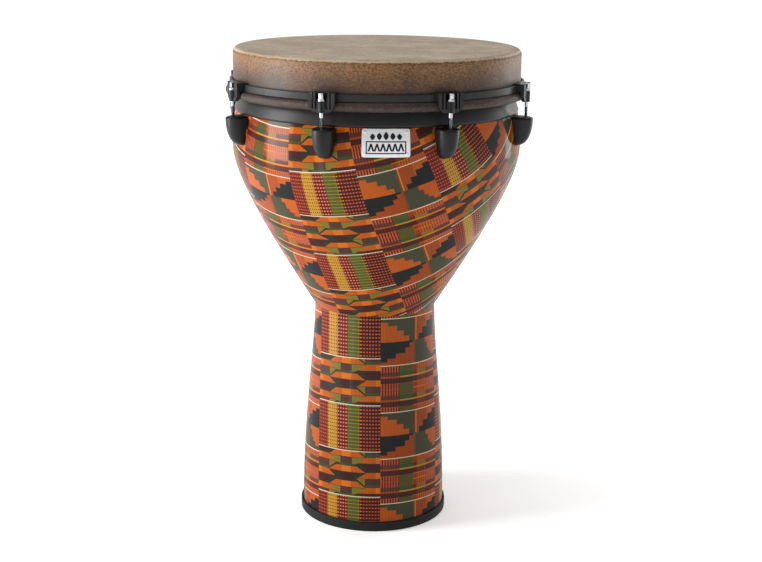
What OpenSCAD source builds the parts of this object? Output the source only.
// Goblet djembe with a mounted head, a counterhoop and eight key-turned tension rods.
// Z is up, the drum stands on z = 0 and its front, with the badge, faces -Y.

/* [Overall] */
// Height from the floor to the playing surface
drum_h = 690; // [560:1:840]
// Outer diameter of the head's collar
head_d = 406; // [350:1:490]
// Outer diameter at the waist
waist_d = 176; // [140:1:220]
// Height of the waist, where the bowl meets the stem
waist_h = 319; // [250:1:390]
// Outer diameter of the stem at the floor
stem_d = 211; // [180:1:260]

/* [Shell] */
// Wall thickness of the bowl and the stem
shell_wall = 7; // [5:0.5:10]
// Thickness of the printed film on the outside
wrap_t = 0.6; // [0.4:0.1:1]
// How much wider the belly is than the head
belly_extra = 4; // [0:1:16]
// Depth of the belly below the playing surface
belly_drop = 130; // [115:1:160]
// Depth of the bowl's top edge below the playing surface
bowl_drop = 87; // [80:1:98]
// How much narrower the bowl's top edge is than the belly, on the radius
bowl_tuck = 5; // [3:0.5:8]
// Angle of the bowl's side from the vertical, just above the waist
bowl_flare = 32.5; // [28:0.5:38]
// Length of the sleeve that joins the two shells
sleeve_h = 44; // [30:1:60]
// Wall thickness of the sleeve
sleeve_wall = 5; // [3:0.5:8]

/* [Rim ring] */
// How far the ring's neck lies inside the head's collar
neck_gap = 9; // [7:0.5:11]
// Wall thickness of the spigot that plugs into the bowl
spigot_wall = 5; // [4:0.5:7]
// Length of the spigot
spigot_h = 14; // [8:1:16]
// Radius of the bearing edge's outer rounding
edge_round = 6; // [4:0.5:8]
// Height of the flared lip that covers the bowl's top edge
lip_h = 18; // [12:1:20]

/* [Head] */
// Thickness of the film
film_t = 0.8; // [0.5:0.1:1.2]
// Diameter of the flesh hoop's round bar
flesh_bar_d = 10.4; // [8.6:0.1:12.6]
// Thickness of the film that is rolled round the flesh hoop
bead_t = 1; // [0.6:0.1:1.4]
// Depth of the bead's centre below the playing surface
bead_drop = 59.6; // [57:0.2:62]
// Depth of the line where the pale skin turns into the dark collar
skin_drop = 6.5; // [4:0.5:9]

/* [Counterhoop] */
// Height of the flat hoop
hoop_h = 10; // [8:0.5:12]
// Thickness of the flat hoop
hoop_t = 4; // [3:0.25:5]

/* [Tension rods] */
// Angle of the first rod from the front, towards +X
lug_start = 26; // [0:1:44]
// Diameter of the rods
rod_d = 5; // [4:0.1:6]
// Diameter of the flange under the square head
flange_d = 9.5; // [9:0.1:10.5]
// Height of the flange
flange_h = 2; // [1.6:0.1:2.4]
// Width of the square head across its flats
square_w = 6.35; // [5.5:0.05:6.5]
// Height of the square head
square_h = 7.6; // [6:0.1:9]
// Thickness of the washer under the flange
washer_t = 0.8; // [0.6:0.1:1.2]
// How far the hoop can be pulled down from rest
pull_down = 4; // [2:0.5:5]

/* [Claws] */
// Width of a claw
claw_w = 36; // [32:0.5:40]
// Height of a claw
claw_h = 25.4; // [23:0.2:29]
// Thickness of the tab that hooks over the hoop
tab_t = 1.9; // [1.4:0.1:2.6]
// Diameter of the boss round the rod
boss_d = 9.6; // [8.6:0.1:10.6]
// Diameter of the recess for the drum key
key_d = 13; // [11:0.5:15]

/* [Lug pods] */
// Width of a pod at its top
pod_w = 29.2; // [26:0.2:32]
// Height of a pod
pod_h = 41; // [36:0.5:50]
// How far the pod stands out beyond the rod's axis
pod_out = 10; // [8:0.2:12]
// Depth of the pod's top below the playing surface
pod_drop = 87.5; // [83:0.5:92]
// Diameter of the brass nut in the pod
nut_d = 9; // [7.4:0.2:11]
// Height of the nut
nut_h = 12; // [8:0.5:14]
// Diameter of the pod's screws
screw_d = 5; // [4:0.5:6]

/* [Badge] */
// Width of the plate
badge_w = 63.4; // [50:0.2:80]
// Height of the plate
badge_h = 36.5; // [25:0.5:42]
// Thickness of the plate
badge_t = 1.2; // [0.8:0.1:2]
// Angle of the plate's middle from the front, towards +X
badge_turn = 3.5; // [0:0.5:4]
// Gap between the plate and the rim ring
badge_gap = 0.6; // [0.3:0.1:4]
// Diameter of the rivet heads
rivet_d = 4; // [3:0.2:5]

/* [Foot] */
// Height of the rubber ring
foot_h = 14; // [10:0.5:20]
// Thickness of its outer lip
foot_lip = 3; // [2:0.25:5]
// Thickness of the rubber under the shell
foot_base = 5; // [3:0.5:8]

/* [Hidden] */

LUGS = 8;
RING = 180;           // sides of a full turn
ROUND = 32;           // sides of a small round
CURVE = 28;           // steps along a curved side
BEAD = 48;            // steps round the bead

glue_gap = 0.05;      // between pieces that are glued or pushed together
run_gap = 0.05;       // round a thread that turns
seat_gap = 0.2;       // between the bearing edge and the skin
hoop_gap = 0.9;       // between the head's collar and the hoop
rod_gap = 1.2;        // between the bead and the rods
roll_slit = 0.6;      // between the collar and the end of the film that is rolled round the flesh hoop
claw_gap = 0.3;       // between a claw and what it reaches over
bore_gap = 0.4;       // round a rod in its claw and in the mouth of its pod

// Shell outline
head_r = head_d/2;
waist_r = waist_d/2;
stem_r = stem_d/2;
belly_r = head_r + belly_extra/2;
belly_z = drum_h - belly_drop;
bowl_top_r = belly_r - bowl_tuck;
bowl_top_z = drum_h - bowl_drop;
bowl_wall = 1.12*shell_wall;            // measured level, because the side slants
bowl_in_top = bowl_top_r - wrap_t - bowl_wall;

// Sleeve between the shells
sleeve_r = waist_r - wrap_t - shell_wall - glue_gap;
sleeve_low = waist_h - sleeve_h/2;
sleeve_high = waist_h + sleeve_h/2;

// Rim ring
neck_r = head_r - neck_gap;
bearing_r = head_r - film_t - seat_gap;
bearing_z = drum_h - film_t - seat_gap;
rim_in = bowl_in_top - glue_gap - spigot_wall;
lip_r = bowl_top_r + 1.2;

// Rolled bead, counterhoop and rods
bead_r = flesh_bar_d/2 + bead_t;
bead_z = drum_h - bead_drop;
bead_ring_r = head_r + bead_r - 1.8;
bead_out = bead_ring_r + bead_r;
hoop_z = bead_z + bead_r;
hoop_in = head_r + hoop_gap;
hoop_out = hoop_in + hoop_t;
hoop_top = hoop_z + hoop_h;
rod_r = bead_out + rod_gap + rod_d/2;

// Claws: the flange lies deep in the key recess, so the square head ends level with the claw
claw_top = hoop_top + tab_t;
claw_bottom = claw_top - claw_h;
claw_out = rod_r + 1.4;
claw_corner = 11;
seat_z = claw_top - square_h - flange_h - washer_t;
flange_z = seat_z + washer_t;

// Lug pods and what they hold
pod_top = drum_h - pod_drop;
pod_tip = pod_top - pod_h;
nut_top = pod_top - 7;
rod_tip = nut_top - nut_h - 5;
well_z = rod_tip - pull_down - 2;
screw_zs = [nut_top - nut_h - 6, nut_top - nut_h - 17.5];
screw_bite = 8;
screw_head_d = 1.7*screw_d;
screw_head_t = 2.6;
screw_washer_d = 2*screw_d;
screw_washer_t = 1;
screw_seat_r = belly_r - wrap_t - bowl_wall + 0.8;

// Badge
badge_top = bowl_top_z - badge_gap;
badge_corner = 3;
rivet_inset = 4.2;
rivet_shank_d = 2.4;
rivet_head_t = 0.8;
rivet_len = 4;

function lug_angle(n) = -90 + lug_start + (n - 1)*360/LUGS;

// A point of the cubic curve with the control points p, and the curve through all of them
function bezier(p, t) =
    pow(1 - t, 3)*p[0] + 3*pow(1 - t, 2)*t*p[1] + 3*(1 - t)*pow(t, 2)*p[2] + pow(t, 3)*p[3];
function curve(p) = [for (i = [0:CURVE]) bezier(p, i/CURVE)];
function reverse(list) = [for (i = [len(list) - 1:-1:0]) list[i]];
function moved(list, dr) = [for (p = list) [p[0] + dr, p[1]]];

// Radius of the bowl above the belly, where it draws in towards the rim ring
function tuck_r(z) = belly_r - bowl_tuck*pow(max(0, z - belly_z)/(bowl_top_z - belly_z), 2);

// Angle by which the surface leans inwards there
function tuck_lean(z) = atan(2*bowl_tuck*max(0, z - belly_z)/pow(bowl_top_z - belly_z, 2));

// Points of an arc
function arc(x, z, r, a, b, steps = 8) =
    [for (i = [0:steps]) let (t = a + (b - a)*i/steps) [x + r*cos(t), z + r*sin(t)]];

// Outer outline of the stem, from the floor to the waist
stem_curve = curve([
    [stem_r, 0],
    [stem_r, 0.48*waist_h],
    [waist_r, 0.78*waist_h],
    [waist_r, waist_h]]);

// Outer outline of the bowl, from the waist out to the belly and in to the top edge
bowl_rise = belly_z - waist_h;
bowl_curve = concat(
    curve([
        [waist_r, waist_h],
        [waist_r + 0.91*bowl_rise*sin(bowl_flare), waist_h + 0.91*bowl_rise*cos(bowl_flare)],
        [belly_r, belly_z - 0.1*bowl_rise],
        [belly_r, belly_z]]),
    [for (i = [1:6]) let (z = belly_z + (bowl_top_z - belly_z)*i/6) [tuck_r(z), z]]);

module spin(points) {
    rotate_extrude($fn = RING)
        polygon(points);
}

module at_lug(n) {
    rotate([0, 0, lug_angle(n)])
        children();
}

module ring(r_in, r_out, z_low, z_high) {
    translate([0, 0, z_low])
        difference() {
            cylinder(r = r_out, h = z_high - z_low, $fn = RING);
            translate([0, 0, -1])
                cylinder(r = r_in, h = z_high - z_low + 2, $fn = RING);
        }
}

// A rod that points outwards along a radius
module radial(z, r_from, r_to, d) {
    translate([r_from, 0, z])
        rotate([0, 90, 0])
            cylinder(d = d, h = r_to - r_from, $fn = ROUND);
}

// An upright rod at the tension rods' distance from the axis
module upright(z_low, z_high, d) {
    translate([rod_r, 0, z_low])
        cylinder(d = d, h = z_high - z_low, $fn = ROUND);
}

// The bowl with its film as one filled solid, for cutting what lies against it
module bowl_body(grow = 0) {
    spin(concat([[0, waist_h]], moved(bowl_curve, grow), [[0, bowl_top_z]]));
}

module pod_screw_holes() {
    for (n = [1:LUGS], z = screw_zs)
        at_lug(n)
            radial(z, screw_seat_r - 5, belly_r + 5, screw_d + 0.5);
}

module pod_screw_seats() {
    for (n = [1:LUGS], z = screw_zs)
        at_lug(n)
            radial(z, screw_seat_r - 15, screw_seat_r, screw_washer_d + 1);
}

// Turns and lifts its children to each rivet, square to the plate and with its surface at z = 0
module at_rivets() {
    for (side = [-1, 1], z = [badge_top - rivet_inset, badge_top - badge_h + rivet_inset])
        rotate([0, 0, -90 + badge_turn + side*asin((badge_w/2 - rivet_inset)/belly_r)])
            translate([tuck_r(z) + badge_t, 0, z])
                rotate([0, 90 - tuck_lean(z), 0])
                    children();
}

module rivet_holes() {
    at_rivets()
        translate([0, 0, -rivet_len - 1])
            cylinder(d = rivet_shank_d + 0.1, h = rivet_len + 6, $fn = ROUND);
}

// ---- Shell --------------------------------------------------------------

// Moulded bowl, thick at the neck where it takes the sleeve
module bowl_shell() {
    outer = moved(bowl_curve, -wrap_t);
    inner = [for (p = outer) if (p[1] > sleeve_high + 3) [max(p[0] - bowl_wall, sleeve_r + 1), p[1]]];
    neck_r_in = sleeve_r + glue_gap;
    color("dimgray")
        difference() {
            spin(concat(outer, reverse(inner), [[neck_r_in, sleeve_high + 1], [neck_r_in, waist_h]]));
            pod_screw_holes();
            pod_screw_seats();
            rivet_holes();
        }
}

module stem_shell() {
    side = moved(stem_curve, -wrap_t);
    outer = concat([[stem_r - wrap_t, foot_base]], [for (p = side) if (p[1] > foot_base + 1) p]);
    color("dimgray")
        spin(concat(outer, reverse(moved(outer, -shell_wall))));
}

// Inner sleeve, glued into the stem below the waist and into the bowl above it
module waist_sleeve() {
    color("gray")
        ring(sleeve_r - sleeve_wall, sleeve_r, sleeve_low, sleeve_high);
}

module bowl_wrap() {
    color("chocolate")
        difference() {
            spin(concat(bowl_curve, reverse(moved(bowl_curve, -wrap_t))));
            pod_screw_holes();
            rivet_holes();
        }
}

module stem_wrap() {
    outer = concat([[stem_r, foot_h]], [for (p = stem_curve) if (p[1] > foot_h + 1) p]);
    color("chocolate")
        spin(concat(outer, reverse(moved(outer, -wrap_t))));
}

// Black ring that plugs into the bowl, draws in behind the bead and carries the bearing edge
module rim_ring() {
    color("#262626")
        spin(concat(
            [
                [rim_in, bowl_top_z - spigot_h],
                [bowl_in_top - glue_gap, bowl_top_z - spigot_h],
                [bowl_in_top - glue_gap, bowl_top_z]],
            arc(lip_r - 3, bowl_top_z + 3, 3, -90, 0),
            [
                [neck_r, bowl_top_z + lip_h + 3],
                [neck_r, drum_h - 45],
                [bearing_r, drum_h - 32]],
            arc(bearing_r - edge_round, bearing_z - edge_round, edge_round, 0, 90),
            [[rim_in, bearing_z - 10]]));
}

// Rubber channel that the stem's lower edge stands in
module foot_ring() {
    outer = stem_r + foot_lip;
    inner = stem_r - wrap_t - shell_wall - foot_lip;
    chamfer = 1.2;
    color("#1c1c1c")
        difference() {
            spin([
                [inner + chamfer, 0],
                [outer - chamfer, 0],
                [outer, chamfer],
                [outer, foot_h - chamfer],
                [outer - chamfer, foot_h],
                [inner + chamfer, foot_h],
                [inner, foot_h - chamfer],
                [inner, chamfer]]);
            ring(stem_r - wrap_t - shell_wall - glue_gap, stem_r - wrap_t + glue_gap, foot_base, foot_h + 1);
        }
}

// ---- Badge --------------------------------------------------------------

module rounded_plate(w, h, r) {
    square([w - 2*r, h], center = true);
    square([w, h - 2*r], center = true);
    for (x = [-1, 1], y = [-1, 1])
        translate([x*(w/2 - r), y*(h/2 - r)])
            circle(r = r, $fn = ROUND);
}

module badge_plate() {
    color("silver")
        difference() {
            intersection() {
                bowl_body(badge_t);
                rotate([0, 0, -90 + badge_turn])
                    translate([belly_r - 20, 0, badge_top - badge_h/2])
                        rotate([90, 0, 90])
                            linear_extrude(30)
                                rounded_plate(badge_w, badge_h, badge_corner);
            }
            bowl_body();
            rivet_holes();
        }
}

module badge_rivets() {
    color("silver")
        at_rivets() {
            translate([0, 0, -rivet_len])
                cylinder(d = rivet_shank_d, h = rivet_len + 0.5, $fn = ROUND);
            translate([0, 0, 0.05])
                cylinder(d1 = rivet_d, d2 = 0.6*rivet_d, h = rivet_head_t, $fn = ROUND);
        }
}

// ---- Head ---------------------------------------------------------------

// Section of the whole film between two depths. It runs over the bearing edge, down the collar and round
// the flesh hoop, and its end stops just short of the collar.
module film_section(depth_from, depth_to) {
    r_out = edge_round + film_t + seat_gap;
    bore_r = flesh_bar_d/2 + glue_gap;
    face = head_r - bead_ring_r;
    tip = face + roll_slit;
    intersection() {
        polygon(concat(
            [[0, drum_h - film_t], [0, drum_h]],
            arc(head_r - r_out, drum_h - r_out, r_out, 90, 0),
            arc(bead_ring_r, bead_z, bore_r, acos(face/bore_r), 360 + acos(tip/bore_r), BEAD),
            arc(bead_ring_r, bead_z, bead_r, 360 + acos(tip/bead_r), acos((face - film_t)/bead_r), BEAD),
            arc(head_r - r_out, drum_h - r_out, r_out - film_t, 0, 90)));
        translate([0, drum_h - depth_to])
            square([bead_out + 10, depth_to - depth_from]);
    }
}

// Pale playing surface, down to where the dark collar starts
module head_skin() {
    color("burlywood")
        rotate_extrude($fn = RING)
            film_section(0, skin_drop);
}

// Dark collar and the bead that is rolled round the flesh hoop
module head_collar() {
    color("saddlebrown")
        rotate_extrude($fn = RING)
            film_section(skin_drop, bead_drop + bead_r + 1);
}

module flesh_hoop() {
    color("silver")
        rotate_extrude($fn = RING)
            translate([bead_ring_r, bead_z])
                circle(d = flesh_bar_d, $fn = 2*ROUND);
}

// ---- Counterhoop, claws and rods ----------------------------------------

module counterhoop() {
    color("#303030")
        ring(hoop_in, hoop_out, hoop_z, hoop_top);
}

// Front view of a claw: square shoulders and round lower corners
module claw_shield() {
    translate([-claw_w/2, claw_corner])
        square([claw_w, claw_h - claw_corner]);
    translate([-claw_w/2 + claw_corner, 0])
        square([claw_w - 2*claw_corner, claw_h]);
    for (side = [-1, 1])
        translate([side*(claw_w/2 - claw_corner), claw_corner])
            circle(r = claw_corner, $fn = 2*ROUND);
}

module claw(n) {
    step_z = hoop_z + claw_gap;
    color("#262626")
        at_lug(n)
            difference() {
                union() {
                    intersection() {
                        spin([
                            [bead_out + claw_gap, claw_bottom],
                            [claw_out, claw_bottom],
                            [claw_out, claw_top],
                            [hoop_in + 0.5, claw_top],
                            [hoop_in + 0.5, hoop_top],
                            [hoop_out + claw_gap, hoop_top],
                            [hoop_out + claw_gap, step_z],
                            [bead_out + claw_gap, step_z]]);
                        translate([hoop_in - 5, 0, claw_bottom])
                            rotate([90, 0, 90])
                                linear_extrude(30)
                                    claw_shield();
                    }
                    upright(claw_bottom, seat_z, boss_d);
                }
                ring(hoop_in - 8, bead_out + claw_gap, claw_bottom - 1, step_z);
                upright(claw_bottom - 1, seat_z + 1, rod_d + 2*bore_gap);
                upright(seat_z, claw_top + 1, key_d);
                for (side = [-1, 1]) {
                    groove(side*7.2, 3.2);
                    groove(side*12.2, 2);
                }
            }
}

// Upright channel in a claw's face
module groove(y, w) {
    translate([claw_out - 2.6, y - w/2, claw_bottom + 5])
        cube([5, w, claw_h]);
}

module rod_washers() {
    color("silver")
        for (n = [1:LUGS])
            at_lug(n)
                difference() {
                    upright(seat_z, seat_z + washer_t, flange_d);
                    upright(seat_z - 1, seat_z + washer_t + 1, rod_d + 2*run_gap);
                }
}

module tension_rod(n) {
    color("gainsboro")
        at_lug(n) {
            upright(rod_tip, flange_z + 0.5, rod_d);
            upright(flange_z, flange_z + flange_h, flange_d);
            translate([rod_r - square_w/2, -square_w/2, flange_z + flange_h - 0.1])
                cube([square_w, square_w, square_h + 0.1]);
        }
}

// ---- Lug pods -----------------------------------------------------------

// Level slice of a pod: a flat back and a round front
module pod_slice(z, share) {
    back = belly_r - 9;
    depth = (rod_r + pod_out - back)*share;
    half_w = pod_w/2*share;
    translate([back, 0, z - 0.02]) {
        translate([0, -0.9*half_w, 0])
            cube([0.02, 1.8*half_w, 0.02]);
        translate([0.52*depth, 0, 0])
            scale([0.48*depth, half_w, 1])
                cylinder(r = 1, h = 0.02, $fn = ROUND);
    }
}

module lug_pod(n) {
    slices = 9;
    rim = 2.8;
    color("#202020")
        at_lug(n)
            difference() {
                hull() {
                    pod_slice(pod_top, 0.8);
                    pod_slice(pod_top - 0.3*rim, 0.94);
                    for (i = [0:slices - 1])
                        pod_slice(pod_top - rim - (pod_h - rim)*sin(88*i/(slices - 1)),
                            pow(cos(88*i/(slices - 1)), 0.55));
                }
                bowl_body();
                translate([0, 0, bowl_top_z - 0.1])
                    cylinder(r = lip_r + glue_gap, h = lip_h, $fn = RING);
                upright(well_z, pod_top + 1, rod_d + 2*bore_gap);
                upright(nut_top - nut_h, nut_top, nut_d + 2*glue_gap);
                translate([belly_r - 20, -nut_d/2 - glue_gap, nut_top - nut_h])
                    cube([rod_r - belly_r + 20, nut_d + 2*glue_gap, nut_h]);
                for (z = screw_zs)
                    radial(z, belly_r - 20, tuck_r(z) + screw_bite + 1, screw_d + 2*glue_gap);
            }
}

module lug_nuts() {
    color("goldenrod")
        for (n = [1:LUGS])
            at_lug(n)
                difference() {
                    upright(nut_top - nut_h, nut_top, nut_d);
                    upright(nut_top - nut_h - 1, nut_top + 1, rod_d + 2*run_gap);
                }
}

module pod_screws() {
    under_head = screw_seat_r - screw_washer_t;
    color("silver")
        for (n = [1:LUGS], z = screw_zs)
            at_lug(n) {
                radial(z, under_head - screw_head_t, under_head, screw_head_d);
                radial(z, under_head - 0.1, tuck_r(z) + screw_bite, screw_d);
            }
}

module pod_screw_washers() {
    color("silver")
        for (n = [1:LUGS], z = screw_zs)
            at_lug(n)
                difference() {
                    radial(z, screw_seat_r - screw_washer_t, screw_seat_r, screw_washer_d);
                    radial(z, screw_seat_r - 5, screw_seat_r + 1, screw_d + 2*glue_gap);
                }
}

bowl_shell();
stem_shell();
waist_sleeve();
bowl_wrap();
stem_wrap();
rim_ring();
foot_ring();
badge_plate();
badge_rivets();
head_skin();
head_collar();
flesh_hoop();
counterhoop();
rod_washers();
claw(1);  // claw_1
claw(2);  // claw_2
claw(3);  // claw_3
claw(4);  // claw_4
claw(5);  // claw_5
claw(6);  // claw_6
claw(7);  // claw_7
claw(8);  // claw_8
tension_rod(1);  // tension_rod_1
tension_rod(2);  // tension_rod_2
tension_rod(3);  // tension_rod_3
tension_rod(4);  // tension_rod_4
tension_rod(5);  // tension_rod_5
tension_rod(6);  // tension_rod_6
tension_rod(7);  // tension_rod_7
tension_rod(8);  // tension_rod_8
lug_pod(1);  // lug_pod_1
lug_pod(2);  // lug_pod_2
lug_pod(3);  // lug_pod_3
lug_pod(4);  // lug_pod_4
lug_pod(5);  // lug_pod_5
lug_pod(6);  // lug_pod_6
lug_pod(7);  // lug_pod_7
lug_pod(8);  // lug_pod_8
lug_nuts();
pod_screws();
pod_screw_washers();
